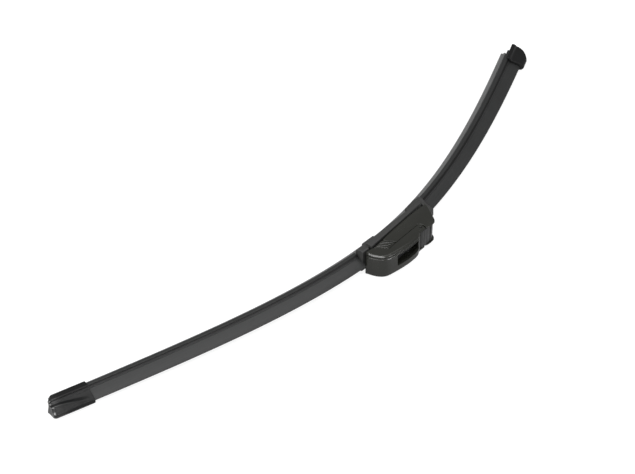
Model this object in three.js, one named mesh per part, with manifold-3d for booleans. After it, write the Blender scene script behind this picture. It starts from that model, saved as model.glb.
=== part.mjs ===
// Frameless (beam) windscreen wiper blade with a hook-arm connector, lying on its side.
// Millimetres. +X runs along the blade towards its far end, -Y points outward from the glass,
// and +Z is across the blade, along the pivot pin. The lip is on the +Y side.
// Shapes are drawn in blade terms: s along the bent spine, n outward from the lip's edge,
// w across. The origin is on the seat that the arm's hook rests on, straight outward from the
// pivot pin, and mid-width.
import * as THREE from 'three';
import { mergeVertices } from 'three/addons/utils/BufferGeometryUtils.js';
import Module from 'manifold-3d';

const wasm = await Module();
wasm.setup();

// ---- driving dimensions -------------------------------------------------------------------
const nearLength = 330;         // spine length from s = 0 to the near end of the rubber
const farLength = 225;          // and to its far end
const bendReach = 280;          // where the tight middle bend has died out
const bendMiddle = 0.00291;     // curvature at the middle, 1/mm, on top of the even curvature
const bendEven = 0.0002;        // curvature that is the same all along
const bendPower = 1.75;         // how fast the middle bend dies out
const seatHeight = 26;          // n of the hook seat
const gap = 0.3;                // clearance between pieces that rest on each other
const stepLength = 9;           // longest facet along the spine

const pinX = -8;                // pivot pin
const pinN = 21.5;
const pinRadius = 2.5;
const hingeX = 1.5;             // flip cover's hinge pin
const hingeN = 28;
const housingHalf = 10.3;       // half widths, across the blade
const skirtHalf = 11;
const slotHalf = 5;             // the slot that the arm's hook drops into
const bodyHalf = 4.8;           // the rocker that the hook wraps round
const shellInner = 8.1;         // inside of the cover and the side panels

// ---- spine --------------------------------------------------------------------------------
function heading(s) {
  const u = Math.min(Math.abs(s) / bendReach, 1);
  const middle = (bendMiddle * bendReach / (bendPower + 1)) * (1 - (1 - u) ** (bendPower + 1));
  return Math.sign(s) * middle + bendEven * s;
}

function spinePoint(s) {
  const slices = 24;
  let x = 0;
  let y = 0;
  for (let i = 0; i < slices; i += 1) {
    const angle = heading((s * (i + 0.5)) / slices);
    x += (Math.cos(angle) * s) / slices;
    y += (Math.sin(angle) * s) / slices;
  }
  return [x, y];
}

// a point of the bent blade: n outward is to the right of the heading
function bent(w, n, s) {
  const [x, y] = spinePoint(s);
  const angle = heading(s);
  return [x + n * Math.sin(angle), y - n * Math.cos(angle) + seatHeight, w];
}

// ---- solids -------------------------------------------------------------------------------
function shapeOf(pairs) {
  const points = pairs.map(([a, b]) => new THREE.Vector2(a, b));
  return new THREE.Shape(THREE.ShapeUtils.isClockWise(points) ? points.reverse() : points);
}

function mapVertices(geometry, place) {
  const position = geometry.attributes.position;
  for (let i = 0; i < position.count; i += 1) {
    position.setXYZ(i, ...place(position.getX(i), position.getY(i), position.getZ(i)));
  }
  return geometry;
}

function positionsOnly(geometry) {
  const plain = geometry.clone();
  plain.deleteAttribute('normal');
  plain.deleteAttribute('uv');
  return mergeVertices(plain, 1e-4);
}

// a section in (w, n) swept along the bent spine from s0 to s1; warp moves each point first
function sweep(points, s0, s1, warp = (w, n, s) => [w, n, s]) {
  const steps = Math.max(1, Math.ceil((s1 - s0) / stepLength));
  const geometry = new THREE.ExtrudeGeometry(shapeOf(points), {
    depth: s1 - s0, steps, bevelEnabled: false,
  });
  return mapVertices(positionsOnly(geometry), (w, n, d) => bent(...warp(w, n, s0 + d)));
}

// a flat outline in (x, n) standing from w0 to w1; w0 is the lower one
function plate(outline, w0, w1, holes = []) {
  const shape = shapeOf(outline.map(([x, n]) => [x, seatHeight - n]));
  for (const hole of holes) {
    shape.holes.push(shapeOf(hole.map(([x, n]) => [x, seatHeight - n])));
  }
  const geometry = new THREE.ExtrudeGeometry(shape, { depth: w1 - w0, bevelEnabled: false });
  geometry.translate(0, 0, w0);
  return positionsOnly(geometry);
}

function block(x0, x1, n0, n1, w0, w1) {
  return plate([[x0, n0], [x1, n0], [x1, n1], [x0, n1]], w0, w1);
}

function arc(cx, cn, radius, from, to, count = 8) {
  return Array.from({ length: count + 1 }, (_, i) => {
    const angle = THREE.MathUtils.degToRad(from + ((to - from) * i) / count);
    return [cx + radius * Math.cos(angle), cn + radius * Math.sin(angle)];
  });
}

function circle(cx, cn, radius, count = 24) {
  return arc(cx, cn, radius, 0, 360 - 360 / count, count - 1);
}

function solid(geometry) {
  return new wasm.Manifold(new wasm.Mesh({
    numProp: 3,
    vertProperties: new Float32Array(geometry.attributes.position.array),
    triVerts: new Uint32Array(geometry.index.array),
  }));
}

function geometryOf(manifold) {
  const mesh = manifold.getMesh();
  const geometry = new THREE.BufferGeometry();
  geometry.setAttribute('position', new THREE.BufferAttribute(mesh.vertProperties, 3));
  geometry.setIndex(new THREE.BufferAttribute(mesh.triVerts, 1));
  return geometry;
}

function join(...pieces) {
  return pieces.map(solid).reduce((whole, piece) => whole.add(piece));
}

function cut(whole, ...tools) {
  return tools.reduce((rest, tool) => rest.subtract(solid(tool)), whole);
}

// ---- materials ----------------------------------------------------------------------------
const finishes = {
  rubber: [0x2a2b2b, 0.75, 0],
  spoiler: [0x1d1e1f, 0.55, 0],
  housing: [0x17181a, 0.35, 0],
  steel: [0x8b8d90, 0.35, 1],
  nylon: [0x222426, 0.5, 0],
};

const wiper = new THREE.Group();
wiper.position.x = -pinX;       // brings the origin over the pin

function add(name, finish, shape) {
  const [color, roughness, metalness] = finishes[finish];
  const material = new THREE.MeshStandardMaterial({ color, roughness, metalness });
  const geometry = shape.isBufferGeometry ? shape : geometryOf(shape);
  geometry.computeVertexNormals();
  const mesh = new THREE.Mesh(geometry, material);
  mesh.name = name;
  wiper.add(mesh);
}

// ---- blade: rubber, rails, spoilers ---------------------------------------------------------
// half sections for w >= 0, mirrored into whole ones
function mirrored(half) {
  return [...half, ...half.slice().reverse().map(([w, n]) => [-w, n])];
}

const rubberSection = mirrored([
  [0.35, 0], [0.45, 1.5], [1.9, 2.9], [1.9, 3.7], [0.6, 4.2], [0.6, 4.9], [2.6, 5.0],
  [2.7, 6.1], [1.0, 6.1], [1.0, 7.6], [1.6, 7.6], [1.6, 8.1],
]);
add('wiping_rubber', 'rubber', sweep(rubberSection, -nearLength, farLength));

const railEnds = [-nearLength + 2, farLength - 1];
const railEdges = [1.3, 4.3];   // w of the rail's inner and outer edge
const railFaces = [6.4, 7.3];   // n of its two faces
for (const [name, side] of [['rail_upper', 1], ['rail_lower', -1]]) {
  const [inner, outer] = railEdges.map((w) => side * w);
  const [low, high] = railFaces;
  add(name, 'steel', sweep([[inner, low], [outer, low], [outer, high], [inner, high]], ...railEnds));
}

// the hollow of every piece that grips the rails: the claws, the rails' slot, the rubber's head
const gripHollow = [[3.6, 5.3], [3.6, 6.1], [4.6, 6.1], [4.6, 7.6], [1.9, 7.6], [1.9, 8.4]];
const spoilerSection = [
  [5.4, 5.3], [5.4, 7.7], [4.9, 8.2], [4.3, 8.3], [3.7, 8.9], [3.1, 9.2], [2.5, 9.3],
  [2.0, 9.9], [1.3, 11.2], [0.2, 13.6],
  [-1.0, 15.9], [-2.1, 17.5], [-2.7, 17.8], [-3.2, 17.3], [-3.6, 13.4], [-4.3, 9.6],
  [-5.0, 8.8], [-5.4, 8.3], [-5.4, 5.3],
  ...gripHollow.map(([w, n]) => [-w, n]),
  ...gripHollow.slice().reverse(),
];
const nearHousingEnd = -48.4;   // x of the housing's near end
const farHousingEnd = 31.4;
const nearSpoilerEnd = -nearLength - 0.5;
const farSpoilerEnd = farLength - 0.2;
// everything between two values of x, for square ends across the bent blade
const cutAway = (x0, x1) => block(x0, x1, -5, 30, -20, 20);
add('spoiler_near', 'spoiler', cut(
  solid(sweep(spoilerSection, nearSpoilerEnd, nearHousingEnd + 3)),
  cutAway(nearHousingEnd - gap, nearHousingEnd + 9),
));
add('spoiler_far', 'spoiler', sweep(spoilerSection, farHousingEnd + gap, farSpoilerEnd));

// ---- end caps -------------------------------------------------------------------------------
// room for the rails and the rubber's head, open on the lip side
function gripTool(s0, s1) {
  return sweep(mirrored([[3.6, -3], ...gripHollow.slice(1)]), s0, s1);
}

// each cap is the spoiler's outline grown by a wall, open on the lip side, so that the lip
// stays free
const spoilerEnvelope = [
  [5.7, -3], [5.7, 7.9], [5.1, 8.6], [4.4, 8.8], [3.8, 9.3], [2.8, 9.7], [2.4, 10.1],
  [1.6, 11.5], [0.5, 13.8], [-0.7, 16.1], [-2.0, 17.9], [-2.8, 18.15], [-3.5, 17.4],
  [-3.9, 13.4], [-4.6, 9.7], [-5.2, 9.1], [-5.7, 8.4], [-5.7, -3],
];
const capHollowEnd = gap + 0.2; // room past the spoiler's end
const capOverrun = 4;           // how far a cap's hollow is cut past its open end

const nearCapInner = -nearLength + 30;
const nearCapOuter = -nearLength - 5;
const nearCapSection = [
  [5.8, 3.3], [6.3, 3.9], [6.3, 7.9], [5.7, 9.0], [4.4, 9.8], [3.4, 10.9], [2.6, 12.4],
  [2.1, 13.6], [1.6, 14.8], [0.6, 17.0], [-0.7, 18.9], [-2.2, 19.5], [-3.6, 19.3],
  [-4.7, 18.2], [-5.1, 13.6], [-5.8, 10.2], [-6.3, 9.0], [-6.3, 3.9], [-5.8, 3.3],
];
// a ridge comes out of the wing's edge and runs down to the end's middle, and the lip-side
// corner is rounded back
const ridgeN = 14.2;            // n of the ridge's crest at the closed end
const ridgeDrop = 4.5;          // how far it comes down to get there
const ridgeHeight = 2.2;
const ridgeSpread = 2.4;
const ridgeSide = -2;           // w below which there is no ridge
const nearRake = 0.05;          // slope of the end wall, about n = nearRakeN
const nearRakeN = 3;
const nearCornerN = 8;          // where the lip-side corner starts
const nearCornerDepth = 0.35;
const nearCapWarp = (w, n, s) => {
  const share = (nearCapInner - s) / (nearCapInner - nearCapOuter);
  const crest = ridgeN + ridgeDrop * (1 - share) ** 1.5;
  const ridge = w > ridgeSide ? ridgeHeight * Math.exp(-(((n - crest) / ridgeSpread) ** 2)) : 0;
  const corner = nearCornerDepth * Math.max(nearCornerN - n, 0) ** 1.5;
  return [w + share * ridge, n, s + share * (corner - nearRake * (n - nearRakeN))];
};
add('end_cap_near', 'housing', cut(
  solid(sweep(nearCapSection, nearCapOuter, nearCapInner, nearCapWarp)),
  sweep(spoilerEnvelope, nearSpoilerEnd - capHollowEnd, nearCapInner + capOverrun),
  sweep(mirrored([[5.4, -3], [5.4, 8.5]]), -nearLength - capHollowEnd,
    nearCapInner + capOverrun),
));

// the far cap starts higher, so the rubber and the claws stay free beside it
const farCapInner = farLength - 10.5;
const farCapOuter = farLength + 9;
const farCapSection = [
  [6.2, 6.8], [6.5, 7.4], [6.5, 8.9], [5.9, 9.9], [4.6, 10.5], [3.7, 11.6], [2.8, 13.6],
  [1.8, 16.2], [0.8, 18.8], [-0.4, 20.4], [-2.0, 20.8], [-3.6, 20.4], [-5.0, 19.0],
  [-5.8, 13.0], [-6.5, 9.4], [-6.5, 7.4], [-6.2, 6.8],
];
// its outer corner is rounded back, its lip-side corner is cut square a little shorter, and
// its rim slants
const farCornerStart = 12;      // n where the outer corner starts, and how far it is wide
const farCornerWidth = 8.8;
const farCornerReach = 8;       // how far back it goes
const farCornerPower = 2.2;
const farTipCut = 2;            // how much shorter the lip-side corner is, up to n = farTipN
const farTipFade = 1.4;
const farTipN = 9.5;
const farRimN = 9;
const farRimSlant = 0.24;
const farCapWarp = (w, n, s) => {
  const share = (s - farCapInner) / (farCapOuter - farCapInner);
  const rounding = Math.max((n - farCornerStart) / farCornerWidth, 0) ** farCornerPower;
  const tip = farTipCut - farTipFade * THREE.MathUtils.clamp((n - farTipN) / 2, 0, 1);
  const slant = farRimSlant * Math.max(n - farRimN, 0);
  return [w, n, s - share * (farCornerReach * rounding + tip) + (1 - share) * slant];
};
add('end_cap_far', 'housing', cut(
  solid(sweep(farCapSection, farCapInner, farCapOuter, farCapWarp)),
  sweep(spoilerEnvelope, farCapInner - capOverrun, farLength + gap),
));

// ---- connector base: steel bracket, plastic skirt and collars --------------------------------
const bracketReach = [pinX - 15, pinX + 15];
const earFaces = [5.9, 6.9];    // w of the ears' two faces
const bracketSection = [
  [5.6, 5.1], [5.6, 9.0], [6.9, 9.4], [6.9, 11], [5.9, 11], [5.9, 10.0], [-5.9, 10.0],
  [-5.9, 11], [-6.9, 11], [-6.9, 9.4], [-5.6, 9.0], [-5.6, 5.1],
  [-3.7, 5.1], [-3.7, 6.0], [-4.7, 6.0], [-4.7, 7.7], [-2.1, 7.7], [-2.1, 8.6],
  [2.1, 8.6], [2.1, 7.7], [4.7, 7.7], [4.7, 6.0], [3.7, 6.0], [3.7, 5.1],
];
const earOutline = [
  [pinX - 9, 9.6], [pinX + 9, 9.6], [pinX + 6.5, 13], ...arc(pinX, pinN, 4.4, 0, 180, 12),
  [pinX - 6.5, 13],
];
const earHole = [circle(pinX, pinN, pinRadius + 0.05)];
add('base_bracket', 'steel', join(
  sweep(bracketSection, ...bracketReach),
  plate(earOutline, ...earFaces, earHole),
  plate(earOutline, -earFaces[1], -earFaces[0], earHole),
));

// two side bars joined by a bridge at each end; the bridges grip the rails
const skirtNear = -39.8;
const skirtBar = [
  [skirtNear, 6.6], [-36, 6.2], [-10, 7.4], [14, 9.0], [26.6, 9.9], [27.2, 11.2], [26.4, 12.0],
  [skirtNear, 12.0],
];
const barInner = 8.6;
const bridgeSection = mirrored([[9, 5.2], [9, 11.4]]);
const bridgeNear = [skirtNear, -27];
const bridgeFar = [13, 26.4];
add('base_skirt', 'housing', cut(
  join(
    plate(skirtBar, barInner, skirtHalf),
    plate(skirtBar, -skirtHalf, -barInner),
    sweep(bridgeSection, ...bridgeNear),
    sweep(bridgeSection, ...bridgeFar),
  ),
  gripTool(bridgeNear[0] - 2, bridgeNear[1] + 2),
  gripTool(bridgeFar[0] - 2, bridgeFar[1] + 2),
));

const collarNear = mirrored([[8.4, 6.4], [9.8, 7.8], [9.8, 12.0], [9.0, 13.0]]);
add('collar_near', 'nylon', cut(
  solid(sweep(collarNear, nearHousingEnd - 4, skirtNear - gap)),
  cutAway(nearHousingEnd - 12, nearHousingEnd),
  gripTool(nearHousingEnd - 6, -36),
));
const collarFar = [
  [7.4, 5.0], [8.0, 6.2], [8.0, 9.0], [4.6, 12.6], [1.6, 19.4], [-4.2, 19.6], [-6.6, 12.6],
  [-8.0, 9.0], [-8.0, 6.2], [-7.4, 5.0],
];
add('collar_far', 'nylon', cut(
  solid(sweep(collarFar, 27.6, farHousingEnd)),
  gripTool(24, farHousingEnd + 2),
));

// ---- pivot ------------------------------------------------------------------------------------
const pinHeadRadius = 3.6;
const pinHeadFaces = [7.2, 7.8];
const washerRadius = 4.1;
const washerThickness = 0.6;
add('pivot_pin', 'steel', join(
  plate(circle(pinX, pinN, pinRadius), -7.3, 7.3),
  plate(circle(pinX, pinN, pinHeadRadius), ...pinHeadFaces),
  plate(circle(pinX, pinN, pinHeadRadius), -pinHeadFaces[1], -pinHeadFaces[0]),
));
for (const [name, w0] of [['pivot_washer_upper', 5.05], ['pivot_washer_lower', -5.65]]) {
  add(name, 'nylon', plate(circle(pinX, pinN, washerRadius), w0, w0 + washerThickness,
    [circle(pinX, pinN, pinRadius + 0.1)]));
}

// ---- rocker: the body that the arm's hook wraps round, with its tail block -------------------
const rockerBar = [
  [2, 17], [2, seatHeight - 1.4], [-2.4, seatHeight - 1.4], [-3.2, seatHeight],
  ...arc(-26.5, 21.5, 4.5, 90, 270, 10),
];
const tail = [
  [1, 14.6], [23.6, 14.6], [22.4, 17.5], [19.6, 22.6], [16.8, 27], [14.4, 30.2], [11.0, 31.4],
  [10.2, 31.4], [10.2, 30.4], [9.4, 30.4], [9.4, 31.2], [6.0, 31.2], [6.0, 23.6], [1, 23.6],
];
const hingeLug = [
  [-0.9, 17.4], [6.2, 17.4], [6.2, 31.0], [2.6, 31.0], ...arc(hingeX, hingeN, 2.9, 68, 180, 8),
  [-1.4, 24],
];
const tailHalf = 7.8;           // half width of the tail block and of the hinge lug
const hingePinRadius = 1;
const hingeHole = [circle(hingeX, hingeN, hingePinRadius + 0.1, 16)];
add('rocker', 'nylon', cut(
  join(
    plate(rockerBar, -bodyHalf, bodyHalf),
    plate(tail, -tailHalf, tailHalf),
    plate(hingeLug, -tailHalf, tailHalf, hingeHole),
  ),
  plate(circle(pinX, pinN, pinRadius + 0.1), -9, 9),
));

// ---- side panels, their release tabs and the flip cover ----------------------------------------
// the panel's lower edge is highest at its ends, so that the housing can rock on the skirt
const rockLowest = 12.5;
const rockRise = 0.0016;
const rockEdge = (x) => rockLowest + rockRise * (x - pinX) ** 2;
const edgePoints = (x0, x1, count, edge) => Array.from({ length: count + 1 }, (_, i) => {
  const x = x0 + ((x1 - x0) * i) / count;
  return [x, edge(x)];
});
const notch = arc(hingeX, hingeN, 3.9, 38, -90, 10);
const panelOutline = [
  ...edgePoints(-28.3, 26.2, 10, rockEdge), [25.8, 15.4], [24.4, 18.2], [21.6, 22.4],
  [18.6, 27.0], [16.2, 30.6], [14.0, 32.0], [9.8, 32.2], [6.2, 31.6], ...notch,
  [-23.9, 23.1],
];
const tabOutline = [[-38.9, 13.4], [-29.1, 13.0], [-24.7, 23.1], [-33.8, 23.1]];
const tabInner = shellInner + 0.1;
const tabFace = 10.2;           // w of the tab's face and of the top of its ribs
const ribTop = 10.9;
const ribCount = 4;
const ribPitch = 2.2;
const coverOuter = [
  [-48.0, 11.9], [-42.0, 12.8], [-39.4, 13.5], [-34.1, 23.5], [-24.2, 23.5],
  ...arc(hingeX, hingeN, 3.5, -90, 60, 10), [-3.4, 30.7], [-6.4, 32.4], [-10, 33.0], [-18, 32.8],
  [-26, 31.7], [-33.5, 30.1], [-38.6, 28.9], [-41.6, 27.7], [-44.2, 25.5], [-46.3, 22.0],
  [-47.6, 18.0], [-48.1, 14.6],
];
for (const [name, side] of [['side_panel_upper', 1], ['side_panel_lower', -1]]) {
  const [a, b] = side > 0 ? [shellInner, housingHalf] : [-housingHalf, -shellInner];
  add(name, 'housing', plate(panelOutline, a, b));
}
for (const [name, side] of [['release_tab_upper', 1], ['release_tab_lower', -1]]) {
  const base = side > 0 ? [tabInner, tabFace] : [-tabFace, -tabInner];
  const ribs = [];
  for (let i = 0; i < ribCount; i += 1) {
    const shift = i * ribPitch;
    const rib = [[-37.8 + shift, 14.2], [-36.7 + shift, 14.1], [-32.8 + shift, 22.3],
      [-33.9 + shift, 22.4]];
    ribs.push(side > 0 ? plate(rib, tabFace - 0.1, ribTop) : plate(rib, -ribTop, 0.1 - tabFace));
  }
  add(name, 'housing', join(plate(tabOutline, ...base), ...ribs));
}

// the cover is hollow: a nose round the hook's bend, two side plates and a slotted outer wall
const coverHollow = [
  [-45.9, 8], [-30, 8], [-24, 20], [8, 20], [8, 40], [-2.2, 40], [-2.2, 29.1], [-10, 30.6],
  [-18, 30.6], [-26, 29.6], [-33.5, 28.1], [-38.2, 27.0], [-40.8, 25.9], [-43.0, 23.9],
  [-44.8, 20.8], [-45.8, 17],
];
const slotEnds = [-31, -5.5];
add('flip_cover', 'housing', cut(
  solid(plate(coverOuter, -housingHalf, housingHalf)),
  plate(coverHollow, -shellInner, shellInner),
  block(...slotEnds, 22, 40, -slotHalf, slotHalf),
  plate(circle(hingeX, hingeN, hingePinRadius + 0.1, 16), -12, 12),
));
add('cover_hinge_pin', 'steel', plate(circle(hingeX, hingeN, hingePinRadius, 16), -9.3, 9.3));

export default wiper;
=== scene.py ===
# %% [markdown]
# # A frameless wiper blade round its CAD frame
# The packed CAD model is a fixed frame: it says where every part of the blade is and which body
# it moves with. This script gives the blade its looks. Large smooth parts are made again as
# finer meshes that ride on the same bodies, and the small metal and nylon parts keep their CAD
# shape and only get rounded edges and a finish.

# %% The fixed frame
import math

import bmesh
import bpy
import numpy as np
from mathutils import Matrix, Vector


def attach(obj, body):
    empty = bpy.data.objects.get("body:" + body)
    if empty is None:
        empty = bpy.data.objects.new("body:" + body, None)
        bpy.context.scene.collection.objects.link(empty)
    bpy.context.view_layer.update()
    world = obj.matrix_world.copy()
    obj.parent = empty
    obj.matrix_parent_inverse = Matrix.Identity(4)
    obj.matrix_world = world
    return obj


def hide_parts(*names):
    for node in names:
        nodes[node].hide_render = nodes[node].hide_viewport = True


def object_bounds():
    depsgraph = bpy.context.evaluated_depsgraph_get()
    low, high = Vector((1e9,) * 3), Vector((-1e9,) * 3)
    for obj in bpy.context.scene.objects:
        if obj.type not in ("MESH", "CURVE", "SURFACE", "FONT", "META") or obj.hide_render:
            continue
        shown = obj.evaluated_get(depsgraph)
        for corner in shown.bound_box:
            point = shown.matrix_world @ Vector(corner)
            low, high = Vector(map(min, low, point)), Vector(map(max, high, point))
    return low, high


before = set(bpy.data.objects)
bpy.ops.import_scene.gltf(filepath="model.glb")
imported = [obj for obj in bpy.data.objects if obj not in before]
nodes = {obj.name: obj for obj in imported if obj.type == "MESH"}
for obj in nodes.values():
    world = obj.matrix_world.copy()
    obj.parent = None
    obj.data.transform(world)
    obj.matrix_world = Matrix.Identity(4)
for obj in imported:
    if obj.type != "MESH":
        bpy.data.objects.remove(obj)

cad_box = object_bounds()
print("frame:", len(nodes), "nodes, size in mm", [round(v * 1000, 1) for v in cad_box[1] - cad_box[0]])

# %% [markdown]
# ## The bent spine
# A beam blade is pre-bent so that it presses evenly along a curved glass. All long parts follow
# one spine curve, so it is worth writing that curve once as a formula: a heading that turns
# quickly near the arm and slowly towards the tips. A Curve object with a bevel could sweep
# simple sections, but working the points out keeps the sections exact and lets every long part
# share one function. Lengths are in millimetres here, and are made metres when a mesh is made.

# %% Driving dimensions and the spine
MM = 0.001
near_length, far_length = 330.0, 225.0     # rubber, from the middle of the bend to its two ends
bend_reach, bend_middle, bend_even, bend_power = 280.0, 0.00291, 0.0002, 1.75
seat_height = 26.0                         # outward distance of the hook seat from the lip's edge
pin_x, pin_n = -8.0, 21.5
hinge_x, hinge_n = 1.5, 28.0
housing_half, panel_inner, slot_half = 10.3, 8.1, 5.0


def heading(s):
    u = np.minimum(np.abs(s) / bend_reach, 1)
    middle = bend_middle * bend_reach / (bend_power + 1) * (1 - (1 - u) ** (bend_power + 1))
    return np.sign(s) * middle + bend_even * s


spine_s = np.linspace(-340, 260, 6001)
spine_step = spine_s[1] - spine_s[0]
spine_turn = heading(spine_s[:-1] + spine_step / 2)
spine_x, spine_y = [
    np.concatenate([[0], np.cumsum(part * spine_step)]) for part in (np.cos(spine_turn), np.sin(spine_turn))
]
spine_x = spine_x - np.interp(0, spine_s, spine_x)
spine_y = spine_y - np.interp(0, spine_s, spine_y)


def on_blade(s, w, n):
    """Points of the bent blade: s along the spine, w across, n outward from the lip."""
    x = np.interp(s, spine_s, spine_x) + n * np.sin(heading(s)) - pin_x
    y = np.interp(s, spine_s, spine_y) - n * np.cos(heading(s)) + seat_height
    return np.stack(np.broadcast_arrays(x, y, w), -1)


def on_connector(x, n, w):
    """Points of the straight connector: x along it, n outward, w across."""
    return np.stack(np.broadcast_arrays(x - pin_x, seat_height - n, w), -1)


tip_check = on_blade(-near_length, 0.0, 0.0)

# %% [markdown]
# ## Outlines
# Moulded and extruded parts have no knife edges, so each outline is drawn with its few real
# corners and a helper turns every corner into a small curve. A Bevel modifier could do the
# same afterwards, but a curve in the outline costs nothing and keeps even quads along a sweep.
# A second helper moves an outline in or out, which is how end faces and bull noses are rounded.

# %% Outline helpers
tiny = 1e-9
corner_share = 0.45       # how much of an edge the curve at one of its ends may take
least_cosine = 0.5        # keeps a sharp corner from running away when its outline is moved


def rounded(corners, radius, steps=3):
    """A closed outline with its corners turned into short curves, by one or many radii."""
    corners = np.array(corners, float)
    radii = np.broadcast_to(radius, len(corners))
    made = []
    neighbours = zip(np.roll(corners, 1, 0), corners, np.roll(corners, -1, 0), radii)
    for before, corner, after, size in neighbours:
        back, onward = before - corner, after - corner
        reach = min(size, corner_share * np.hypot(*back), corner_share * np.hypot(*onward))
        start = corner + back / np.hypot(*back) * reach
        end = corner + onward / np.hypot(*onward) * reach
        for t in np.linspace(0, 1, steps + 1):
            made.append((1 - t) ** 2 * start + 2 * t * (1 - t) * corner + t ** 2 * end)
    return np.array(made)


def grown(outline, distance):
    """The outline moved outwards by a distance, or inwards by a negative one."""
    edges = np.roll(outline, -1, 0) - outline
    onward = np.stack([edges[:, 1], -edges[:, 0]], 1) / np.maximum(np.hypot(*edges.T), tiny)[:, None]
    back = np.roll(onward, 1, 0)
    middle = back + onward
    middle /= np.maximum(np.hypot(*middle.T), tiny)[:, None]
    stretch = 1 / np.maximum((middle * back).sum(1), least_cosine)
    ahead = np.roll(outline, -1, 0)
    area = (outline[:, 0] * ahead[:, 1] - ahead[:, 0] * outline[:, 1]).sum()
    return outline + middle * (stretch * distance * np.sign(area))[:, None]


def mirrored(half):
    return [*half, *[(-w, n) for w, n in reversed(half)]]


def arc(centre_x, centre_n, radius, start, end, steps=8):
    angles = np.radians(np.linspace(start, end, steps + 1))
    return [(centre_x + radius * math.cos(a), centre_n + radius * math.sin(a)) for a in angles]


unit_square = np.array([[0, 0], [1, 0], [1, 1], [0, 1]], float)
print("a unit square grown by 0.1:", grown(unit_square, 0.1).round(2).tolist())

# %% [markdown]
# ## Meshes from rings
# Almost every part of a wiper is either one section run along the blade or one outline run
# across it. Both are rings of points joined by quads, closed by a face at each end, so one loft
# function makes them all. It also writes a UV map in metres, along the run and round the
# section, which the rubber's finish uses to draw the fine lines that an extrusion die leaves.

# %% Meshes
def new_piece(name, points, faces, uvs=None, sharp=40):
    mesh = bpy.data.meshes.new(name)
    mesh.from_pydata([tuple(p) for p in np.asarray(points, float) * MM], [], faces)
    if uvs is not None:
        mesh.uv_layers.new(name="run").data.foreach_set("uv", np.concatenate(uvs).ravel())
    shell = bmesh.new()
    shell.from_mesh(mesh)
    bmesh.ops.recalc_face_normals(shell, faces=shell.faces)
    shell.to_mesh(mesh)
    shell.free()
    smooth(mesh, sharp)
    piece = bpy.data.objects.new(name, mesh)
    bpy.context.scene.collection.objects.link(piece)
    return piece


def smooth(mesh, sharp=40):
    """Smooth shading, except across edges that bend by more than sharp degrees."""
    mesh.polygons.foreach_set("use_smooth", [True] * len(mesh.polygons))
    mesh.set_sharp_from_angle(angle=math.radians(sharp))


print("meshes are made from millimetres, times", MM)

# %% Lofts
def loft(name, rings, along=None):
    """A closed mesh through rings of equal point counts, given in millimetres."""
    rings = np.asarray(rings, float)
    count, around = rings.shape[:2]
    along = np.arange(count) if along is None else np.asarray(along)
    steps = np.linalg.norm(np.roll(rings[0], -1, 0) - rings[0], axis=1)
    girth = np.concatenate([[0], np.cumsum(steps)]) * MM
    faces, uvs = [], []
    for i in range(count - 1):
        for j in range(around):
            k = (j + 1) % around
            faces.append((i * around + j, i * around + k, (i + 1) * around + k, (i + 1) * around + j))
            low, high = along[i] * MM, along[i + 1] * MM
            uvs.append([(low, girth[j]), (low, girth[j + 1]), (high, girth[j + 1]), (high, girth[j])])
    for i in (0, count - 1):
        faces.append([i * around + j for j in range(around)])
        uvs.append([(along[i] * MM, girth[j]) for j in range(around)])
    return new_piece(name, rings.reshape(-1, 3), faces, [np.array(u) for u in uvs])


print("a loft of 3 rings of 8 points would have", 2 * 8 + 2, "faces")

# %% Runs along the blade and across it
def end_steps(start, end, edge, spacing):
    """(place, inset) pairs for a run whose two ends are rounded by edge."""
    turn = np.radians([0, 30, 60, 90])
    inset, reach = edge * (1 - np.sin(turn)), edge * (1 - np.cos(turn))
    inner = np.linspace(start + edge, end - edge, max(2, round((end - start) / spacing)))
    first = [(start + r, i) for r, i in zip(reach, inset)]
    last = [(end - r, i) for r, i in zip(reach[::-1], inset[::-1])]
    return first[:-1] + [(s, 0) for s in inner] + last[1:]


def swept(name, section, start, end, edge=0.25, spacing=2.5, warp=None):
    """A section (w, n) run along the spine. warp moves each ring's w, n and s."""
    rings, along = [], []
    for s, inset in end_steps(start, end, edge, spacing):
        ring = grown(section, -inset)
        w, n, at = warp(ring[:, 0], ring[:, 1], s) if warp else (ring[:, 0], ring[:, 1], s)
        rings.append(on_blade(at, w, n))
        along.append(s)
    return loft(name, rings, along)


def across(name, outline, levels, share=1.0):
    """An outline (x, n) run across the blade; levels are (w, inset) pairs.
    share says how much of the inset each point of the outline takes."""
    rings = []
    for w, inset in levels:
        ring = outline + (grown(outline, -inset) - outline) * np.reshape(share, (-1, 1))
        rings.append(on_connector(ring[:, 0], ring[:, 1], w))
    return loft(name, rings)


def edge_levels(low, high, low_edge, high_edge):
    """Levels of a plate whose two rims are rounded, each by its own radius."""
    turn = np.radians([0, 22, 45, 68, 90])
    first = [(low + low_edge * (1 - math.cos(a)), low_edge * (1 - math.sin(a))) for a in turn]
    last = [(high - high_edge * (1 - math.cos(a)), high_edge * (1 - math.sin(a))) for a in turn[::-1]]
    return first + last


short_run = end_steps(0, 10, 0.5, 5)
print("rounded run of 10 mm:", [(round(float(s), 2), round(float(i), 2)) for s, i in short_run])

# %% [markdown]
# ## Cutting and joining
# A hollow or a slot is cut with a Boolean modifier, which is applied at once so that the piece
# ends as one plain mesh. The Manifold solver is the one to use here, because every piece is a
# closed body, and it either gives a closed body back or nothing, which the helper reports.
# CAD nodes may carry modifiers as well, as long as their own vertices stay: a Weld and a
# Decimate bring their flat triangles together, and a Bevel with an angle limit breaks the edges.

# %% Modifiers
def settle(piece):
    """Turns what the modifiers make into the piece's own mesh."""
    shown = piece.evaluated_get(bpy.context.evaluated_depsgraph_get())
    made = bpy.data.meshes.new_from_object(shown)
    piece.modifiers.clear()
    piece.data = made
    return piece


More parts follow.
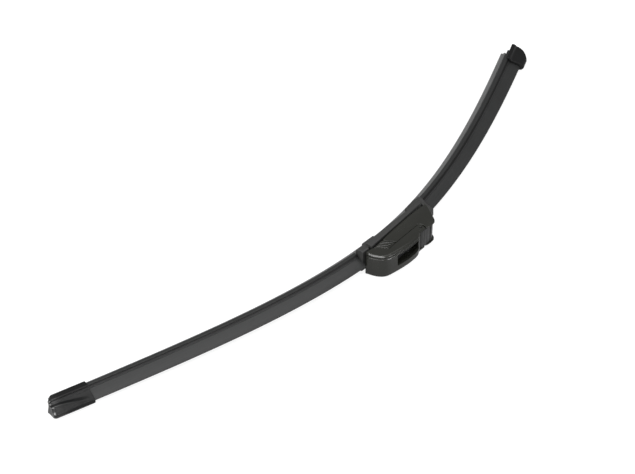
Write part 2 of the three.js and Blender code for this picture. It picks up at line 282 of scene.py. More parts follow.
def combine(piece, others, operation):
    for other in others:
        step = piece.modifiers.new("combine", "BOOLEAN")
        step.operation, step.object, step.solver = operation, other, "MANIFOLD"
        settle(piece)
        bpy.data.objects.remove(other)
        if not piece.data.polygons:
            raise RuntimeError(f"nothing is left of {piece.name}")
    return piece


def soften_node(name, width, segments=3):
    """Rounds a CAD node's edges without moving its own vertices."""
    node = nodes[name]
    weld = node.modifiers.new("weld", "WELD")
    weld.merge_threshold = 1e-6
    flat = node.modifiers.new("flat", "DECIMATE")
    flat.decimate_type, flat.angle_limit = "DISSOLVE", math.radians(1)
    edge = node.modifiers.new("edges", "BEVEL")
    edge.width, edge.segments = width * MM, segments
    edge.limit_method, edge.angle_limit = "ANGLE", math.radians(35)
    edge.harden_normals = True
    node.data.polygons.foreach_set("use_smooth", [True] * len(node.data.polygons))
    return node


print("pieces are combined with the Manifold solver, nodes get a bevel")

# %% [markdown]
# ## Shader arithmetic
# A finish is a small program. Adding Math nodes one by one hides what it says, so one class
# wraps a socket and lets plain operators add the nodes. Colours and vectors go through Mix and
# Vector Math nodes, because a Math node would turn them grey.

# %% Sockets that can be added and multiplied
class Wire:
    """A node's output that takes part in arithmetic."""

    def __init__(self, finish, socket):
        self.finish, self.socket = finish, socket

    def maths(self, operation, *values):
        return self.finish.node("ShaderNodeMath", {"operation": operation}, dict(enumerate(values)))

    def __add__(self, other):
        return self.maths("ADD", self, other)

    def __radd__(self, other):
        return self.maths("ADD", other, self)

    def __sub__(self, other):
        return self.maths("SUBTRACT", self, other)

    def __rsub__(self, other):
        return self.maths("SUBTRACT", other, self)

    def __mul__(self, other):
        return self.maths("MULTIPLY", self, other)

    def __rmul__(self, other):
        return self.maths("MULTIPLY", other, self)


print("a wire has", [name for name, value in vars(Wire).items() if callable(value)])

# %% Node trees
class Graph:
    """A node tree to which one method adds every kind of node."""

    def __init__(self, tree):
        self.tree = tree

    def node(self, kind, settings=None, sockets=None, out=0):
        """Adds a node: its settings first, then the values or links of its sockets."""
        made = self.tree.nodes.new(kind)
        for label, value in (settings or {}).items():
            if label == "stops":
                while len(made.color_ramp.elements) < len(value):
                    made.color_ramp.elements.new(0.5)
                for element, (place, shade) in zip(made.color_ramp.elements, value):
                    element.position, element.color = place, (shade, shade, shade, 1)
            else:
                setattr(made, label, value)
        for label, value in (sockets or {}).items():
            if isinstance(value, Wire):
                self.tree.links.new(value.socket, made.inputs[label])
            else:
                made.inputs[label].default_value = value
        return Wire(self, made.outputs[out])

    def outputs(self, kind, *names):
        """Several outputs of one node."""
        made = self.tree.nodes.new(kind)
        return [Wire(self, made.outputs[name]) for name in names]


print("a graph has", [name for name in vars(Graph) if "__" not in name])

# %% Finishes
class Finish(Graph):
    """A material with one Principled shader, whose constants sit on its own sockets."""

    def __init__(self, name, **constants):
        self.material = bpy.data.materials.new(name)
        self.material.use_nodes = True
        super().__init__(self.material.node_tree)
        self.shader = self.tree.nodes["Principled BSDF"]
        for label, value in constants.items():
            self.shader.inputs[label.replace("_", " ")].default_value = value

    def place(self, output="Object"):
        return self.outputs("ShaderNodeTexCoord", output)[0]

    def stretch(self, vector, by):
        return self.node("ShaderNodeVectorMath", {"operation": "MULTIPLY"}, {0: vector, 1: by})

    def noise(self, vector, scale, detail=3.0, roughness=0.5):
        sockets = {"Vector": vector, "Scale": scale, "Detail": detail, "Roughness": roughness}
        return self.node("ShaderNodeTexNoise", None, sockets)

    def ramp(self, value, *stops):
        return self.node("ShaderNodeValToRGB", {"stops": stops}, {0: value})

    def blend(self, factor, first, second):
        sockets = {0: factor, 6: (*first, 1) if isinstance(first, tuple) else first,
                   7: (*second, 1) if isinstance(second, tuple) else second}
        return self.node("ShaderNodeMix", {"data_type": "RGBA"}, sockets, out=2)

    def part(self, vector, axis):
        return self.node("ShaderNodeSeparateXYZ", None, {0: vector}, out=axis)

    def fade(self, value, start, end):
        """0 at start, 1 at end, smooth between; end may be the smaller one."""
        sockets = {"Value": value, "From Min": start, "From Max": end}
        return self.node("ShaderNodeMapRange", {"interpolation_type": "SMOOTHSTEP"}, sockets)

    def send(self, label, value):
        self.tree.links.new(value.socket, self.shader.inputs[label])

    def bump(self, height, strength, distance):
        sockets = {"Height": height, "Strength": strength, "Distance": distance}
        self.send("Normal", self.node("ShaderNodeBump", None, sockets))


print("a finish has", [name for name in vars(Finish) if "__" not in name])

# %% [markdown]
# ## Rubber
# The wiping element is a soft natural rubber with a graphite coating: matte, mid grey, slightly
# patchy, with very fine lines along the run. The spoiler strip is a harder black rubber, also
# extruded, a little smoother. Both could be one flat grey, but the lines are what makes an
# extrusion look like one when light grazes it. They come from noise stretched along the run of
# the UV map, which the loft made in metres. The strip's groove above its claw gets painted
# shadow: a span round the section is given a darker colour that stands in for the shade in it.

# %% Extruded rubber finishes
# Painted shadow in the spoiler's groove: a darker colour over a span round its section.
painted_shadow_fade = 0.3         # millimetres over which a groove's dark colour starts and stops
painted_groove_shadow = 0.05


def extruded(name, dark, light, rough, line_height, patch_share, shadowed_groove=None, **constants):
    """The span round the section given for the groove, in millimetres, gets a darker colour as painted
    shadow.
    """
    finish = Finish(name, **constants)
    run = finish.place("UV")
    lines = finish.noise(finish.stretch(run, (6.0, 2600.0, 1.0)), 1.0, 4.0, 0.6)
    patches = finish.noise(finish.place(), 38.0, 4.0, 0.6)
    specks = finish.noise(finish.place(), 2400.0, 2.0, 0.5)
    tone = finish.ramp(lines * (1 - patch_share) + patches * patch_share, (0.3, 0.0), (0.7, 1.0))
    colour = finish.blend(tone, dark, light)
    # Painted shadow: the groove's span round the section is darkened in place of the shade inside the
    # groove.
    if shadowed_groove:
        around = finish.part(run, "Y")
        start, end, fade = (v * MM for v in (*shadowed_groove, painted_shadow_fade))
        inside = finish.fade(around, start - fade, start) * finish.fade(around, end + fade, end)
        colour = finish.blend(inside, colour, tuple(painted_groove_shadow * c for c in dark))
    finish.send("Base Color", colour)
    finish.send("Roughness", rough + (patches - 0.5) * 0.16 + (lines - 0.5) * 0.1)
    finish.bump(lines * 0.8 + specks * 0.2, 0.5, line_height * MM)
    return finish.material


wiping_rubber = extruded("graphite_rubber", (0.105, 0.106, 0.106), (0.155, 0.156, 0.156),
                         rough=0.72, line_height=0.05, patch_share=0.6, Specular_IOR_Level=0.35)
spoiler_rubber = extruded("black_rubber", (0.013, 0.0135, 0.0135), (0.023, 0.0235, 0.0235),
                          rough=0.44, line_height=0.035, patch_share=0.45, shadowed_groove=(2.7, 5.5),
                          Specular_IOR_Level=0.42)
print("rubber finishes:", wiping_rubber.name, spoiler_rubber.name)

# %% [markdown]
# ## Moulded plastic
# The connector's covers and the end caps are black moulded plastic. A mould leaves a very fine
# spark-eroded grain, faint flow marks, and dust-fine scuffs where fingers go. The covers are
# glossier than the caps, and very slightly olive. The grain is a tight noise bump, the flow
# marks a slow noise in the roughness, and the scuffs a thresholded noise that lightens it. The
# near cap's closed end comes out of the mould polished, so a gloss coat fades in over it.

# %% Moulded plastic finishes
def moulded(name, base, tint, rough, grain_height, polished=None, **constants):
    """polished is an x span in millimetres over which a gloss coat fades in."""
    finish = Finish(name, **constants)
    place = finish.place()
    grain = finish.noise(place, 1800.0, 2.0, 0.5)
    flow = finish.noise(finish.stretch(place, (1.0, 2.2, 1.4)), 46.0, 3.0, 0.55)
    scuffs = finish.ramp(finish.noise(finish.stretch(place, (260.0, 900.0, 700.0)), 1.0, 5.0, 0.7),
                         (0.62, 0.0), (0.74, 1.0))
    colour = finish.blend(flow, base, tint)
    worn = tuple(0.6 * c + 0.03 for c in tint)
    finish.send("Base Color", finish.blend(scuffs * 0.2, colour, worn))
    finish.send("Roughness", rough + (flow - 0.5) * 0.14 + scuffs * 0.05 + (grain - 0.5) * 0.02)
    finish.bump(grain, 0.1, grain_height * MM)
    if polished:
        gloss = finish.fade(finish.part(place, "X"), polished[0] * MM, polished[1] * MM)
        finish.send("Coat Weight", gloss * (0.8 + flow * 0.2))
    return finish.material


housing_plastic = moulded("olive_black", (0.010, 0.0104, 0.0084), (0.018, 0.0185, 0.0148),
                          rough=0.25, grain_height=0.007, Specular_IOR_Level=0.5)
cap_plastic = moulded("cap_black", (0.004, 0.0042, 0.0043), (0.0075, 0.0078, 0.0079),
                      rough=0.36, grain_height=0.03, polished=(-307, -317),
                      Specular_IOR_Level=0.25, Coat_Roughness=0.16)
satin_plastic = moulded("satin_black", (0.026, 0.0262, 0.0258), (0.038, 0.0382, 0.0370),
                        rough=0.5, grain_height=0.04, Specular_IOR_Level=0.45)
nylon = moulded("black_nylon", (0.020, 0.0203, 0.0205), (0.032, 0.0323, 0.0325),
                rough=0.42, grain_height=0.03, Specular_IOR_Level=0.5)
print("plastic finishes:", [m.name for m in (housing_plastic, cap_plastic, satin_plastic, nylon)])

# %% [markdown]
# ## Metal
# The rails are spring steel with a dark phosphate coat, the bracket is black painted steel, and
# the pins are bright turned steel. Metal shows its making in its roughness: rolling lines
# along a strip, turning rings round a pin, and a coat that is thinner where it is rubbed.

# %% Metal finishes
def metal(name, dull, bright, rough, lines, metallic):
    finish = Finish(name, Metallic=metallic)
    place = finish.place()
    drawn = finish.noise(finish.stretch(place, lines), 1.0, 3.0, 0.6)
    coat = finish.ramp(finish.noise(place, 420.0, 4.0, 0.65), (0.42, 0.0), (0.66, 1.0))
    finish.send("Base Color", finish.blend(coat * 0.5 + drawn * 0.3, dull, bright))
    finish.send("Roughness", rough + (drawn - 0.5) * 0.2 + coat * 0.08)
    finish.bump(drawn, 0.3, 0.02 * MM)
    return finish.material


spring_steel = metal("phosphated_steel", (0.09, 0.09, 0.095), (0.22, 0.22, 0.23),
                     rough=0.42, lines=(40.0, 3000.0, 3000.0), metallic=1.0)
painted_steel = metal("black_paint", (0.020, 0.020, 0.021), (0.045, 0.045, 0.047),
                      rough=0.4, lines=(600.0, 600.0, 90.0), metallic=0.3)
turned_steel = metal("bright_steel", (0.42, 0.42, 0.43), (0.62, 0.62, 0.63),
                     rough=0.28, lines=(60.0, 60.0, 4000.0), metallic=1.0)
print("metal finishes:", [m.name for m in (spring_steel, painted_steel, turned_steel)])

# %% [markdown]
# ## Dressing a piece
# A piece made here stands for one CAD node, rides on that node's body, and takes one finish.
# Doing all three in one call means that none is forgotten.

# %% Dress and finish
def dress(piece, node, body, finish):
    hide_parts(node)
    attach(piece, body)
    piece.data.materials.clear()
    piece.data.materials.append(finish)
    print(f"{piece.name}: {len(piece.data.polygons)} faces for {node}, on {body}")


def keep_node(name, finish, edge=0.15, segments=2):
    node = soften_node(name, edge, segments)
    for material_slot in node.material_slots:
        material_slot.material = finish
    print(f"{name}: CAD shape with {edge} mm edges and {finish.name}")


print("to dress or to keep:", ", ".join(sorted(nodes)))

# %% [markdown]
# ## The wiping element
# One rubber section runs the whole length: a thin lip, shoulders that it folds against, a neck,
# and a head held by the rails. A Curve with a bevel profile would twist or need a profile
# object; the loft along the formula keeps the lip on the glass side all the way.

# %% Wiping element
rubber_section = rounded(mirrored([
    (0.35, 0), (0.45, 1.5), (1.9, 2.9), (1.9, 3.7), (0.6, 4.2), (0.6, 4.9), (2.6, 5.0),
    (2.7, 6.1), (1.0, 6.1), (1.0, 7.6), (1.6, 7.6), (1.6, 8.1),
]), 0.25)
dress(swept("rubber_element", rubber_section, -near_length, far_length, 0.12),
      "wiping_rubber", "blade", wiping_rubber)

# %% [markdown]
# ## The spoiler strips
# Each strip is a rubber extrusion that clips round the rails with two claws and rises into a
# concave wing, so that the wind presses the blade down. A groove runs along it above the claw,
# with a bead beside it that catches a thin line of light. It is the same section on both sides
# of the connector, so one outline serves.

# %% Spoiler strips
near_housing_end, far_housing_end, gap = -48.4, 31.4, 0.3
near_spoiler_end, far_spoiler_end = -near_length - 0.5, far_length - 0.2
grip_hollow = [(3.6, 5.3), (3.6, 6.1), (4.6, 6.1), (4.6, 7.6), (1.9, 7.6), (1.9, 8.4)]
spoiler_section = rounded([
    (5.4, 5.3), (5.4, 8.0), (5.1, 8.3), (4.85, 8.2), (4.7, 7.7), (4.3, 7.7), (4.1, 8.4), (3.3, 9.35),
    (2.8, 9.4), (2.4, 8.9), (1.9, 9.6), (1.3, 11.1), (0.2, 13.6), (-1.0, 15.9), (-1.9, 17.2), (-2.3, 17.7),
    (-2.8, 17.8), (-3.2, 17.3), (-3.6, 13.4),
    (-4.3, 9.6), (-5.0, 8.8), (-5.4, 8.3), (-5.4, 5.3),
    *[(-w, n) for w, n in grip_hollow], *reversed(grip_hollow),
], 0.22)
spine_at_housing = float(np.interp(near_housing_end - gap, spine_x, spine_s))
wing_root, wing_loss, wing_reach = 9.3, 0.15, 150
square_reach = 12          # how far from its end a strip starts to turn square to the connector


def wing(w, n, s):
    """The wing is a little lower beside the connector than at the tips."""
    lower = wing_loss * math.exp(-(s / wing_reach) ** 2)
    return w, n - lower * np.maximum(n - wing_root, 0), s


def near_wing(w, n, s):
    """The strip is cut square to the connector, not to the bent spine."""
    w, n, s = wing(w, n, s)
    share = max(0.0, 1 - (spine_at_housing - s) / square_reach)
    return w, n, s + share * n * math.tan(-float(heading(spine_at_housing)))


dress(swept("spoiler_strip_near", spoiler_section, near_spoiler_end, spine_at_housing, warp=near_wing),
      "spoiler_near", "blade", spoiler_rubber)
dress(swept("spoiler_strip_far", spoiler_section, far_housing_end + gap, far_spoiler_end, warp=wing),
      "spoiler_far", "blade", spoiler_rubber)
keep_node("rail_upper", spring_steel, 0.1)
keep_node("rail_lower", spring_steel, 0.1)

# %% [markdown]
# ## The end caps
# A moulded cap closes each end: it follows the strip's section one wall thickness outside it
# and stays open on the lip side. On the near cap a ridge swells out of the wing towards the
# tip and divides it into two faces, and the end is a slightly domed and raked wall. It is the
# same sweep as the strips with the rings warped, and a sweep of the strip's own outline is cut
# out of it for the hollow. Modelling it by hand from a box would hide where each bend comes from.

# %% Near end cap
hollow_section = np.array([
    (5.7, -3), (5.7, 7.9), (5.1, 8.5), (4.4, 8.6), (3.8, 9.2), (2.8, 9.6), (2.4, 10.1), (1.6, 11.5),
    (0.5, 13.8), (-0.7, 16.1), (-2.0, 17.9), (-2.8, 18.15), (-3.5, 17.4), (-3.9, 13.4), (-4.6, 9.7),
    (-5.2, 9.1), (-5.7, 8.4), (-5.7, -3),
])
near_cap_inner, near_cap_outer = -near_length + 30, -near_length - 5
near_cap_section = rounded([
    (5.8, 3.3), (6.3, 3.9), (6.35, 8.0), (6.05, 8.9), (5.6, 9.3), (5.3, 9.0), (4.9, 9.0), (4.7, 9.7),
    (4.35, 10.3), (3.5, 10.9),
    (2.8, 12.2), (2.2, 13.4), (1.7, 14.6), (0.7, 16.8), (-0.6, 18.8), (-2.2, 19.5), (-3.6, 19.3),
    (-4.7, 18.2), (-5.1, 13.6), (-5.8, 10.2), (-6.3, 9.0), (-6.3, 3.9), (-5.8, 3.3),
], 0.43, 4)
ridge_n, ridge_drop, ridge_height, ridge_breadth, ridge_rise = 14.2, 4.5, 2.2, 2.2, 1.4
ridge_side = -2                            # across the blade, where the ridge's face begins
near_corner_n, near_corner_depth = 8, 0.35  # the lip-side corner is rounded back from here
near_rake, near_rake_n = 0.05, 3
dome_length, dome_pull, dome_centre = 2.8, 0.2, 11
hollow_room, hollow_overrun, hollow_edge, hollow_spacing = 0.5, 4, 0.05, 4
moulded_sharp = 38                         # degrees at which a moulded edge starts to look sharp


def near_cap_form(w, n, s):
    share = (near_cap_inner - s) / (near_cap_inner - near_cap_outer)
    crest = ridge_n + ridge_drop * (1 - share) ** 1.5    # the ridge runs down from the rim's corner
    swell = ridge_height * min(1.0, ridge_rise * share) * np.exp(-((n - crest) / ridge_breadth) ** 2)
    corner = near_corner_depth * np.maximum(near_corner_n - n, 0) ** 1.5
    pull = dome_pull * max(0.0, 1 - (s - near_cap_outer) / dome_length) ** 2
    w = np.where(w < ridge_side, w, w + swell) * (1 - pull)
    n = n + (dome_centre - n) * pull * 0.5
    return w, n, s + share * (corner - near_rake * (n - near_rake_n))


near_cap = swept("end_cap_near_shell", near_cap_section, near_cap_outer, near_cap_inner,
                 edge=0.42, spacing=0.6, warp=near_cap_form)
rubber_room = np.array([(5.4, -3), (5.4, 8.4), (-5.4, 8.4), (-5.4, -3)])
hollow_end = near_cap_inner + hollow_overrun
combine(near_cap, [
    swept("hollow", hollow_section, near_spoiler_end - hollow_room, hollow_end, hollow_edge, hollow_spacing),
    swept("rubber_room", rubber_room, -near_length - hollow_room, hollow_end, hollow_edge, hollow_spacing),
], "DIFFERENCE")
smooth(near_cap.data, moulded_sharp)
dress(near_cap, "end_cap_near", "blade", cap_plastic)

# %% [markdown]
# ## The far end cap
# The far cap is short and closes only the strip, so that the rubber's end stays free beside it
# and can be drawn out. Its outer corner is rounded far back, its lip-side corner is cut a little
# shorter, and its open rim slants. All three are places where a ring's points move along the
# blade, so the same warped sweep makes it, and the same hollow is cut out.

# %% Far end cap
far_cap_inner, far_cap_outer = far_length - 10.5, far_length + 9
far_cap_section = rounded([
    (6.2, 6.8), (6.5, 7.4), (6.5, 8.9), (5.9, 9.8), (4.7, 10.3), (3.7, 11.2), (2.8, 13.2), (1.9, 16.0),
    (0.9, 18.6), (-0.4, 20.3), (-2.0, 20.8), (-3.6, 20.4), (-5.0, 19.0), (-5.8, 13.0), (-6.5, 9.4),
    (-6.5, 7.4), (-6.2, 6.8),
], 0.7, 4)
corner_start, corner_width, corner_reach, corner_power = 12.0, 8.8, 8.0, 2.2
tip_cut, tip_fade, tip_n = 2, 1.4, 9.5
rim_n, rim_slant = 9, 0.24


def far_cap_form(w, n, s):
    share = (s - far_cap_inner) / (far_cap_outer - far_cap_inner)
    corner = corner_reach * (np.maximum(n - corner_start, 0) / corner_width) ** corner_power
    tip = tip_cut - tip_fade * np.clip((n - tip_n) / 2, 0, 1)
    return w, n, s - share * (corner + tip) + (1 - share) * rim_slant * np.maximum(n - rim_n, 0)


far_cap = swept("end_cap_far_shell", far_cap_section, far_cap_inner, far_cap_outer,
                edge=0.5, spacing=0.8, warp=far_cap_form)
far_hollow_ends = far_cap_inner - hollow_overrun, far_length + gap
combine(far_cap, [
    swept("hollow", hollow_section, *far_hollow_ends, hollow_edge, hollow_spacing),
], "DIFFERENCE")
smooth(far_cap.data, moulded_sharp)
dress(far_cap, "end_cap_far", "blade", cap_plastic)

# %% [markdown]
# ## The flip cover
# The cover is a hollow shell: a round nose over the hook's bend, two side plates that reach
# back to the hinge, and a slotted outer wall. Its rim is a small bull nose with a shallow
# hollow below it and a second edge, which give it its two bright lines. Those are insets that
# change across the width. The nose and the outer wall take them in full, and the plates'
# straight edges only a small share. The hollow, the slot and the pin's hole are cut afterwards.

# %% Cover
cover_corners = [
    (-48.0, 11.9), (-42.0, 12.8), (-39.4, 13.5), (-34.1, 23.5), (-24.2, 23.5),
    *arc(hinge_x, hinge_n, 3.5, -90, 60, 10),
    (-3.4, 30.7), (-6.4, 32.4), (-10, 33.0), (-18, 32.8), (-26, 31.7), (-33.5, 30.1), (-38.6, 28.9),
    (-41.6, 27.7), (-44.2, 25.5), (-46.3, 22.0), (-47.6, 18.0), (-48.1, 14.6),
]
plate_radii = [1.2, 0.6, 0.5, 0.5, 0.5]    # the first corners are tight, all others wide
wall_radius = 2.2
cover_radii = plate_radii + [wall_radius] * (len(cover_corners) - len(plate_radii))
cover_outline = rounded(cover_corners, cover_radii, 4)
cover_hollow = rounded([
    (-45.9, 8), (-30, 8), (-24, 20), (8, 20), (8, 40), (-2.2, 40), (-2.2, 29.1), (-10, 30.6), (-18, 30.6),
    (-26, 29.6), (-33.5, 28.1), (-38.2, 27.0), (-40.8, 25.9), (-43.0, 23.9), (-44.8, 20.8), (-45.8, 17),
], 0.8, 3)
rim_levels = [
    (10.3, 1.75), (10.25, 1.5), (10.05, 1.2), (9.2, 0.35), (8.95, 0.1), (8.7, 0.0), (8.35, 0.12), (7.9, 0.5),
    (7.2, 0.66), (6.6, 0.62), (6.0, 0.05), (5.85, 0.0), (5.6, 0.1), (5.4, 0.6), (4.4, 0.68),
]
lower_levels = [(-10.3, 1.4), (-10.22, 0.95), (-10.0, 0.5), (-9.65, 0.2), (-9.1, 0.03), (-8.5, 0.0),
                (-4.5, 0.3), (0, 0.55)]
cover_levels = lower_levels + rim_levels[::-1]
outer_wall_n, nose_x, nose_n, plate_share = 25.5, -38.0, 12.5, 0.12
cover_x, cover_n = cover_outline.T
outward = np.clip((cover_n - outer_wall_n) / 3, 0, 1)
nose = np.clip((nose_x - cover_x) / 3, 0, 1) * np.clip((cover_n - nose_n) / 2.5, 0, 1)
rim_share = np.maximum(np.maximum(outward, nose), plate_share)
cover = across("flip_cover_shell", cover_outline, cover_levels, rim_share)
slot_near, slot_far = -31.0, -5.5
slot_outline = rounded([(slot_near, 22), (slot_far, 22), (slot_far, 40), (slot_near, 40)], 0.6)
combine(cover, [
    across("hollow", cover_hollow, [(-panel_inner, 0), (panel_inner, 0)]),
    across("slot", slot_outline, edge_levels(-slot_half, slot_half, 0.8, 0.8)),
    across("pin_hole", np.array(arc(hinge_x, hinge_n, 1.1, 0, 337.5, 15)), [(-12, 0), (12, 0)]),
], "DIFFERENCE")
smooth(cover.data, moulded_sharp)
dress(cover, "flip_cover", "cover", housing_plastic)

# %% [markdown]
# ## Side panels
# A thin panel closes each side of the rocker. Panel and tab lie beside the cover's plate with
# only fine gaps between them, and both are slightly crowned. A crown needs points inside a flat
# face to bend it, so each plate is first sliced along a grid of planes and then its points are
# moved. Without the slices a large face would be bent at its rim only, and would shade in dark
# streaks.

# %% Slices and crown
crown_depth, crown_n, crown_half_width = 0.7, 19.5, 9.0
crown_end_depth, crown_x, crown_half_length = 0.5, -10, 38
plate_sharp = 30                           # crowned plates bend less, so their edges count sooner


def sliced(piece, spacing=2.5):
    """Cuts the mesh along planes of constant x and y, so that its faces can bend."""
    shell = bmesh.new()
    shell.from_mesh(piece.data)
    low = np.min([v.co for v in shell.verts], 0)
    high = np.max([v.co for v in shell.verts], 0)
    for axis in (0, 1):
        for place in np.arange(low[axis] + spacing * MM, high[axis], spacing * MM):
            point, normal = [0, 0, 0], [0, 0, 0]
            point[axis], normal[axis] = place, 1
            bmesh.ops.bisect_plane(shell, geom=[*shell.verts, *shell.edges, *shell.faces],
                                   dist=1e-6, plane_co=point, plane_no=normal)
    shell.to_mesh(piece.data)
    shell.free()
    return piece


def crowned(piece):
    """Lets the outer side faces fall away from the middle of the connector."""
    for vertex in piece.data.vertices:
        x, n, w = vertex.co.x / MM + pin_x, seat_height - vertex.co.y / MM, vertex.co.z / MM
        outer = max(abs(w) - panel_inner, 0) / (housing_half - panel_inner)
        fall = (crown_depth * ((n - crown_n) / crown_half_width) ** 2
                + crown_end_depth * ((x - crown_x) / crown_half_length) ** 4)
        vertex.co.z -= math.copysign(outer * fall, w) * MM
    piece.data.update()
    return piece


def on_side(side, pairs):
    """Levels for the upper side (1) or the lower side (-1), from the lower one to the higher."""
    levels = [(side * w, inset) for w, inset in pairs]
    return levels if side > 0 else levels[::-1]


print("the crown takes", crown_depth, "mm off the long rims and", crown_end_depth, "mm off the ends")

# %% Panels
rock_lowest, rock_rise = 12.5, 0.0016


def rock_edge(x):
    """The panel's lower edge rises to both ends, so that the housing can rock on the skirt."""
    return rock_lowest + rock_rise * (x - pin_x) ** 2


panel_outline = rounded([
    *[(x, rock_edge(x)) for x in np.linspace(-28.3, 26.2, 11)], (25.8, 15.4), (24.4, 18.2), (21.6, 22.4),
    (18.6, 27.0), (16.2, 30.6), (14.0, 32.0), (9.8, 32.2), (6.2, 31.6),
    *arc(hinge_x, hinge_n, 3.9, 38, -90, 10), (-23.9, 23.1),
], 0.9, 3)
for name, side in (("upper", 1), ("lower", -1)):
    panel = across(f"side_panel_{name}_face", panel_outline,
                   on_side(side, edge_levels(panel_inner, housing_half, 0.15, 0.4)))
    crowned(sliced(panel))
    smooth(panel.data, plate_sharp)
    dress(panel, f"side_panel_{name}", "connector", housing_plastic)

# %% [markdown]
# ## Release tabs
# Beside each panel a tab is pressed to free the cover. Its four slanted ribs give a finger grip
# and catch the light on their flanks. Each rib is an outline like the tab's own, narrower
# towards its top, and a Boolean joins it to the tab. An Array modifier could repeat one rib,
# but a loop does it as shortly and lets the ribs be joined one after another.

# %% Release tabs
tab_corners = [(-38.9, 13.4), (-29.1, 13.0), (-24.7, 23.1), (-33.8, 23.1)]
tab_inner, tab_face, rib_top, rib_count, rib_pitch, rib_half = panel_inner + 0.1, 10.2, 10.9, 4, 2.2, 0.75
rib_flanks = [(tab_face - 0.4, 0), (tab_face + 0.02, 0), (rib_top - 0.04, 0.42), (rib_top, 0.48)]


def rib_outline(number):
    foot, head = -37.2 + number * rib_pitch, -33.3 + number * rib_pitch
    return rounded([(foot - rib_half, 14.4), (foot + rib_half, 14.3), (head + rib_half, 22.1),
                    (head - rib_half, 22.2)], 0.7, 4)


for name, side in (("upper", 1), ("lower", -1)):
    tab = across(f"release_tab_{name}_button", rounded(tab_corners, 0.8, 4),
                 on_side(side, edge_levels(tab_inner, tab_face, 0.15, 0.35)))
    ribs = [across("rib", rib_outline(number), on_side(side, rib_flanks)) for number in range(rib_count)]
    combine(tab, ribs, "UNION")
    crowned(sliced(tab))
    smooth(tab.data, moulded_sharp)
    dress(tab, f"release_tab_{name}", f"tab_{name}", housing_plastic)

# %% [markdown]
# ## Base, collars and working parts
# The skirt, the collars, the steel bracket and the rocker are simple machined or moulded
# shapes, and their CAD nodes are already right. They stay as they are, and modifiers dissolve
# the flat triangles and break the edges, because light never shows a perfectly sharp edge.

# %% Carried-over nodes
keep_node("base_skirt", satin_plastic, 0.35, 3)
keep_node("collar_near", satin_plastic, 0.3, 3)
keep_node("collar_far", satin_plastic, 0.3, 3)
keep_node("base_bracket", painted_steel, 0.12)
keep_node("rocker", nylon, 0.2)
keep_node("pivot_pin", turned_steel, 0.15)
keep_node("cover_hinge_pin", turned_steel, 0.12)
for washer in ("pivot_washer_upper", "pivot_washer_lower"):
    keep_node(washer, nylon, 0.08)

# %% [markdown]
# ## Floor
# The blade lies on its side on a pale surface, resting on the connector and the two caps. A
# thing at rest stands on the face of its convex hull that lies below its centre, so that face
# gives the floor's height and slight tilt. Guessing a height would leave the blade floating or
# sunk.

# %% Floor
floor_half = 8.0                           # metres
mass_x, mass_share = -8.0, 0.6             # the mass's middle: x in mm, y as a share of the box's middle


def resting_plane():
    """The hull face under the blade's middle: (a point of it, its upward normal)."""
    hull = bmesh.new()
    for node in nodes.values():
        for vertex in node.data.vertices:
            hull.verts.new(vertex.co)
    bmesh.ops.convex_hull(hull, input=hull.verts)
    hull.faces.ensure_lookup_table()
    inside = sum((v.co for v in hull.verts), Vector()) / len(hull.verts)
    middle = Vector((mass_x * MM, sum(corner.y for corner in cad_box) / 2 * mass_share, 0))
    found = []
    for face in hull.faces:
        centre = face.calc_center_median()
        normal = face.normal if (centre - inside).dot(face.normal) < 0 else -face.normal
        if normal.z > 0.5:
            height = (normal.dot(centre) - normal.x * middle.x - normal.y * middle.y) / normal.z
            found.append((height, centre, normal.copy()))
    hull.free()
    return max(found, key=lambda option: option[0])[1:]


floor_point, floor_normal = resting_plane()
print("floor through", [round(v * 1000, 1) for v in floor_point], "mm, tilt",
      round(math.degrees(floor_normal.angle(Vector((0, 0, 1)))), 2), "degrees")
floor_mesh = bpy.data.meshes.new("floor")
floor_corners = [(x * floor_half, y * floor_half, 0) for x, y in ((-1, -1), (1, -1), (1, 1), (-1, 1))]
floor_mesh.from_pydata(floor_corners, [], [(0, 1, 2, 3)])
floor = bpy.data.objects.new("floor", floor_mesh)
bpy.context.scene.collection.objects.link(floor)
floor.rotation_mode = "QUATERNION"
floor.rotation_quaternion = floor_normal.to_track_quat("Z", "Y")
floor.location = floor_point

# %% [markdown]
# ## White paper
# The surface has to look white and still carry the blade's shadow. Turning the lamps up until a
# white sheet burns out would burn out the blade too. So the paper is a plain grey that takes
# the shadow, and it glows for camera rays, and more weakly for the faces that mirror it.

# %% Floor finish
paper_shade, paper_glow, mirrored_share = 0.25, 0.84, 0.4
paper = Finish("paper", Base_Color=(paper_shade, paper_shade, paper_shade, 1), Roughness=0.9,
               Specular_IOR_Level=0.1, Emission_Color=(1, 1, 1, 1))
by_camera, by_mirror = paper.outputs("ShaderNodeLightPath", "Is Camera Ray", "Is Glossy Ray")
paper.send("Emission Strength", by_camera * paper_glow + by_mirror * (paper_glow * mirrored_share))
floor.data.materials.append(paper.material)
print("paper: shade", paper_shade, "and glow", paper_glow)

# %% [markdown]
# ## Light
# A black, half glossy thing is seen by what it mirrors, so each lamp is placed for the faces
# that it shows: a face shows a lamp when it stands halfway between the lamp and the camera. The
# overhead one lies on the wings, the long strip draws the line round the cover's rim and the
# ribs' flanks, the front one touches the bead and the outer edges, and the key and the low one
# fill from the near end. An even surround keeps the rest readable.

# %% World and lamps
surround_strength = 0.36


def aim(thing, target):
    thing.rotation_mode = "QUATERNION"
    thing.rotation_quaternion = (Vector(target) - thing.location).to_track_quat("-Z", "Y")


world = bpy.data.worlds.new("studio")
bpy.context.scene.world = world
world.use_nodes = True
surround = Graph(world.node_tree)
shown_white = surround.outputs("ShaderNodeLightPath", "Is Camera Ray")[0]
strength = surround.node("ShaderNodeMix", {"data_type": "FLOAT"},
                         {0: shown_white, 2: surround_strength, 3: 1.0})
background = world.node_tree.nodes["Background"]
background.inputs["Color"].default_value = (1, 1, 1, 1)
world.node_tree.links.new(strength.socket, background.inputs["Strength"])

blade_middle = (cad_box[0] + cad_box[1]) / 2


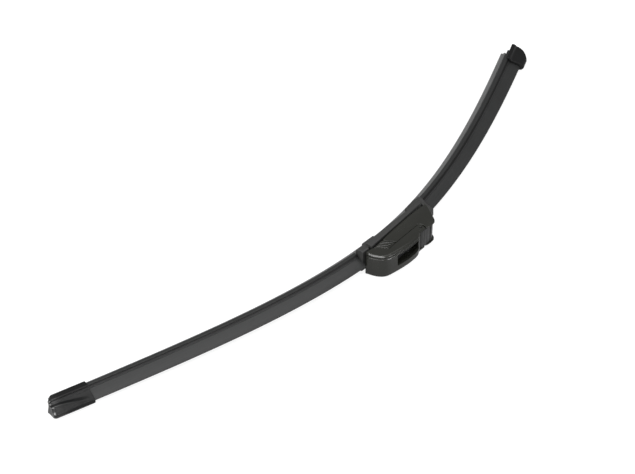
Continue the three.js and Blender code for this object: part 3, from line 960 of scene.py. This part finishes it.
def softbox(name, direction, distance, size, watts):
    lamp = bpy.data.lights.new(name, "AREA")
    lamp.shape, lamp.size, lamp.size_y, lamp.energy = "RECTANGLE", *size, watts
    box = bpy.data.objects.new(name, lamp)
    bpy.context.scene.collection.objects.link(box)
    box.location = blade_middle + Vector(direction).normalized() * distance
    aim(box, blade_middle)
    print(f"{name}: radiance {watts / (math.pi * size[0] * size[1]):.2f}")


softbox("key", (-0.85, 0.45, 0.75), 1.6, (0.8, 0.8), 4.5)
softbox("overhead", (0.25, -0.35, 0.95), 1.5, (0.9, 0.9), 6)
softbox("front", (0.12, -0.90, 0.42), 1.4, (0.5, 0.3), 5)
softbox("strip", (-0.56, -0.24, 0.76), 1.5, (1.5, 0.4), 18)
softbox("low", (-0.85, 0.45, 0.30), 1.4, (0.5, 0.4), 5)

# %% [markdown]
# ## Camera
# The camera is far off with a long lens, which keeps the two ends of the blade at almost the
# same scale. A short lens close by would show the near cap clearly larger than the far one.
# The Standard view writes colours as the materials give them.

# %% Camera
look_at = Vector((-37.7, 60.1, 0)) * MM
azimuth, elevation, roll = math.radians(-55.5), math.radians(40.6), math.radians(2.01)
camera_distance = 7.0
back = Vector((math.sin(azimuth) * math.cos(elevation), -math.cos(azimuth) * math.cos(elevation),
               math.sin(elevation)))
camera_data = bpy.data.cameras.new("camera")
camera_data.sensor_width, camera_data.lens = 36, 523.8
camera_data.clip_start, camera_data.clip_end = 0.5, 60
camera = bpy.data.objects.new("camera", camera_data)
bpy.context.scene.collection.objects.link(camera)
camera.rotation_mode = "QUATERNION"
camera.location = look_at + back * camera_distance
camera.rotation_quaternion = (Matrix(((-back).to_track_quat("-Z", "Y")).to_matrix())
                              @ Matrix.Rotation(roll, 3, "Z")).to_quaternion()
bpy.context.scene.camera = camera
bpy.context.scene.view_settings.view_transform = "Standard"
print("camera", camera_distance, "m off, lens", camera_data.lens, "mm")

# %% [markdown]
# ## Size
# The finer pieces have to stay inside the box of the CAD frame, or the blade would touch things
# that the frame says it clears.
